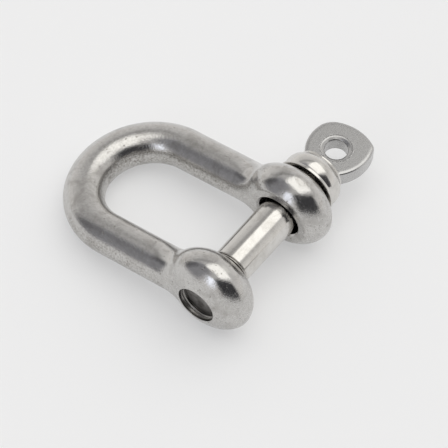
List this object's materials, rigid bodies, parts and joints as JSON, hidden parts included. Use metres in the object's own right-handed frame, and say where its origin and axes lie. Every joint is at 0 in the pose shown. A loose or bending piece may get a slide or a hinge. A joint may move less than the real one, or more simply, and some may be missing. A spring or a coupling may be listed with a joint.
{
  "type": "screw pin shackle",
  "caption": "D-shaped stainless steel shackle: a U of round bar with ball-like ears, closed by a screw pin with a round collar and a flat, drilled eye.",
  "frame": {"origin": "on the axis of the screw pin, halfway between the ears", "axes": "+Y along the pin towards its eye, -X towards the crown of the U, +Z square to the plane of the U"},
  "size_m": [0.0782, 0.0772, 0.028],
  "materials": {
    "satin_steel": "satin stainless steel with the fine pitted grain of a polished forging",
    "polished_steel": "turned and polished stainless steel, duller on the flats of the eye"
  },
  "bodies": {
    "shackle": {"shackle_body": "satin_steel"},
    "pin_carriage": {"pin_shank": "polished_steel"},
    "screw_pin": {"pin_thread": "polished_steel", "pin_head": "polished_steel"}
  },
  "joints": [
    {"name": "pin_travel", "type": "slide", "parent": "shackle", "child": "pin_carriage", "axis": [0, 1, 0], "range_m": [-0.00045, 0.0365]},
    {"name": "pin_turn", "type": "hinge", "parent": "pin_carriage", "child": "screw_pin", "pos_m": [0, 0, 0], "axis": [0, 1, 0], "range_deg": [-163, 13141]}
  ],
  "couplings": [
    {"joint": "pin_turn", "follows": "pin_travel", "rad_per_m": 6283.2}
  ]
}
